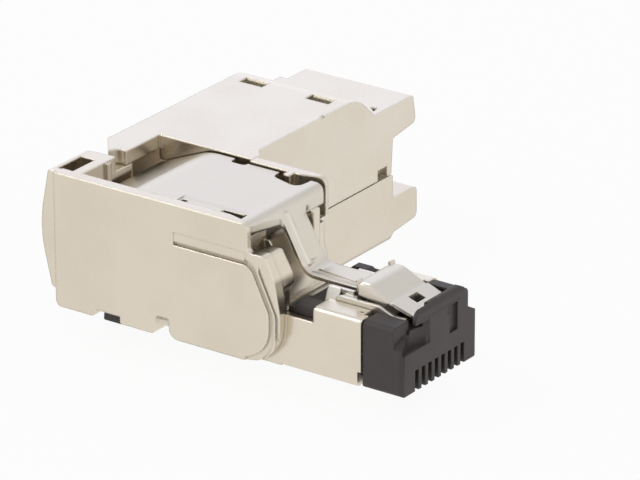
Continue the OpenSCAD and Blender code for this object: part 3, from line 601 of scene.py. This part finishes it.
def makeNose(c):
    shape = takeSolid("contact_carrier")
    picked = [edge for edge in shape.edges if edge.is_manifold and edge.is_convex
              and edge.calc_length() > c["length"] and edge.calc_face_angle() > c["angle"]]
    bmesh.ops.bevel(shape, geom=picked, offset=c["radius"], segments=c["segments"], profile=0.5,
                    affect="EDGES", clamp_overlap=True, material=-1)
    print("nose edges rounded:", len(picked))
    nose = finishPiece("nose", shape, nosePlastic, "plug")
    keepFlats(nose, c["crease"])
    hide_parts("contact_carrier")


def drawOut(shape, extruded, length):
    ends = [part for part in extruded["geom"] if isinstance(part, bmesh.types.BMVert)]
    bmesh.ops.translate(shape, verts=ends, vec=(length, 0, 0))


def roundEdges(shape, radius, segments):
    bmesh.ops.recalc_face_normals(shape, faces=shape.faces[:])
    bmesh.ops.bevel(shape, geom=shape.edges[:], offset=radius, segments=segments, profile=0.5,
                    affect="EDGES", material=-1)


# slanted apron of the latch spring, beside the neck
springApron = {
    "rear": -8.3 * mm,  # from the hinge, like the profile
    "length": 1.35 * mm,
    "profile": ((-2.2 * mm, 0.85 * mm), (-2.5 * mm, 0.3 * mm), (-2.85 * mm, -0.55 * mm)),
    "sheet": 0.2 * mm,
    "edge": 0.04 * mm,
    "segments": 2,
}


def makeSpringApron(c):
    shape = bmesh.new()
    line = [shape.verts.new(hinge + Vector((c["rear"], *point))) for point in c["profile"]]
    edges = [shape.edges.new(pair) for pair in zip(line, line[1:])]
    drawOut(shape, bmesh.ops.extrude_edge_only(shape, edges=edges), c["length"])
    bmesh.ops.solidify(shape, geom=shape.faces[:], thickness=c["sheet"])
    roundEdges(shape, c["edge"], c["segments"])
    finishPiece("springApron", shape, springSteel, "plug")


# slanted hooks of the base's catches at the far edges of the slots
catchHook = {
    "middle": -29.85 * mm,  # from the hinge, like the next value
    "far": 22.1 * mm,
    "pitch": 7.6 * mm,
    "width": 2.6 * mm,
    "profile": ((0.02 * mm, -0.02 * mm), (0.02 * mm, -0.27 * mm), (-0.14 * mm, -0.27 * mm)),
    "edge": 0.02 * mm,
    "segments": 2,
}


def makeCatchHook(c, name, side):
    start = hinge.x + c["middle"] + side * c["pitch"] / 2 - c["width"] / 2
    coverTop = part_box("cable_cover")[1].z
    place = Vector((start, hinge.y + c["far"], coverTop))
    shape = bmesh.new()
    end = shape.faces.new([shape.verts.new(place + Vector((0, *point))) for point in c["profile"]])
    drawOut(shape, bmesh.ops.extrude_face_region(shape, geom=[end]), c["width"])
    roundEdges(shape, c["edge"], c["segments"])
    finishPiece(name, shape, basePlating, "plug")


makeLatchSheet(pressPlate)
makeNose(noseEdges)
makeSpringApron(springApron)
makeCatchHook(catchHook, "catchHookRear", -1)
makeCatchHook(catchHook, "catchHookFront", 1)
print("latch sheet, nose, spring apron and catch hooks made")


# studio
studio = {
    "floorSize": 4.0,
    "floorColour": (0.93, 0.93, 0.93, 1),
    "floorRough": 0.9,
    "floorShow": 0.93,  # share of plain white that the eye and the metal see
    "dome": 0.62,
    "domeColour": (1, 1, 1, 1),
    "overhead": (0.81, 0.83, 0.87, 1),
    "horizon": (1.0, 1.0, 1.0, 1),
    "fade": (0.30, 0.70),
    "lampAim": (0, 0, 0.008),
}
lamps = {
    "keySoft": {"place": (-0.42, -0.33, 0.60), "size": 0.32, "radiance": 3.2, "colour": (1.0, 0.98, 0.94)},
    "backSoft": {"place": (-0.40, 0.58, 0.30), "size": 0.55, "radiance": 0.36, "colour": (0.52, 0.62, 1.0)},
    "sideSoft": {"place": (0.62, -0.02, 0.30), "size": 0.45, "radiance": 0.3, "colour": (1.0, 0.99, 0.97)},
}


def seenRays(tree):
    path = addNode(tree, "ShaderNodeLightPath").outputs
    seen = mathNode(tree, "MAXIMUM", path["Is Camera Ray"], path["Is Glossy Ray"])
    return mathNode(tree, "MAXIMUM", seen, path["Is Transmission Ray"])


def mixShader(tree, factor, a, b):
    mix = addNode(tree, "ShaderNodeMixShader")
    feed(tree, mix.inputs[0], factor)
    feed(tree, mix.inputs[1], a)
    feed(tree, mix.inputs[2], b)
    return mix.outputs[0]


def makeWorld(s):
    world = bpy.data.worlds.new("studioWorld")
    world.use_nodes = True
    tree = world.node_tree
    soft = tree.nodes["Background"]
    feed(tree, soft.inputs["Color"], s["domeColour"])
    feed(tree, soft.inputs["Strength"], s["dome"])
    way = addNode(tree, "ShaderNodeSeparateXYZ")
    feed(tree, way.inputs[0], addNode(tree, "ShaderNodeTexCoord").outputs["Object"])
    rise = rangeNode(tree, way.outputs["Z"], *s["fade"])
    white = addNode(tree, "ShaderNodeBackground")
    feed(tree, white.inputs["Strength"], 1.0)
    feed(tree, white.inputs["Color"], mixColour(tree, rise, s["horizon"], s["overhead"]))
    shown = mixShader(tree, seenRays(tree), soft.outputs[0], white.outputs[0])
    feed(tree, tree.nodes["World Output"].inputs["Surface"], shown)
    scene.world = world


def makeFloor(s):
    shape = bmesh.new()
    bmesh.ops.create_grid(shape, x_segments=1, y_segments=1, size=s["floorSize"] / 2)
    mesh = bpy.data.meshes.new("studioFloor")
    shape.to_mesh(mesh)
    shape.free()
    floor = bpy.data.objects.new("studioFloor", mesh)
    scene.collection.objects.link(floor)
    matt = {"Roughness": s["floorRough"], "Specular IOR Level": 0.0, "Base Color": s["floorColour"]}
    mat, tree, shader = newMaterial("studioFloor", 0.0, **matt)
    white = addNode(tree, "ShaderNodeEmission")
    share = mathNode(tree, "MULTIPLY", seenRays(tree), s["floorShow"])
    shown = mixShader(tree, share, shader.outputs[0], white.outputs[0])
    feed(tree, tree.nodes["Material Output"].inputs["Surface"], shown)
    mesh.materials.append(mat)


def makeLamp(name, lamp, aim):
    data = bpy.data.lights.new(name, "AREA")
    data.shape = "SQUARE"
    data.size = lamp["size"]
    data.energy = math.pi * lamp["radiance"] * lamp["size"] ** 2
    data.color = lamp["colour"]
    light = bpy.data.objects.new(name, data)
    light.location = lamp["place"]
    way = Vector(aim) - light.location
    light.rotation_euler = way.to_track_quat("-Z", "Y").to_euler()
    scene.collection.objects.link(light)


makeWorld(studio)
makeFloor(studio)
for name, lamp in lamps.items():
    makeLamp(name, lamp, studio["lampAim"])
print("studio ready")
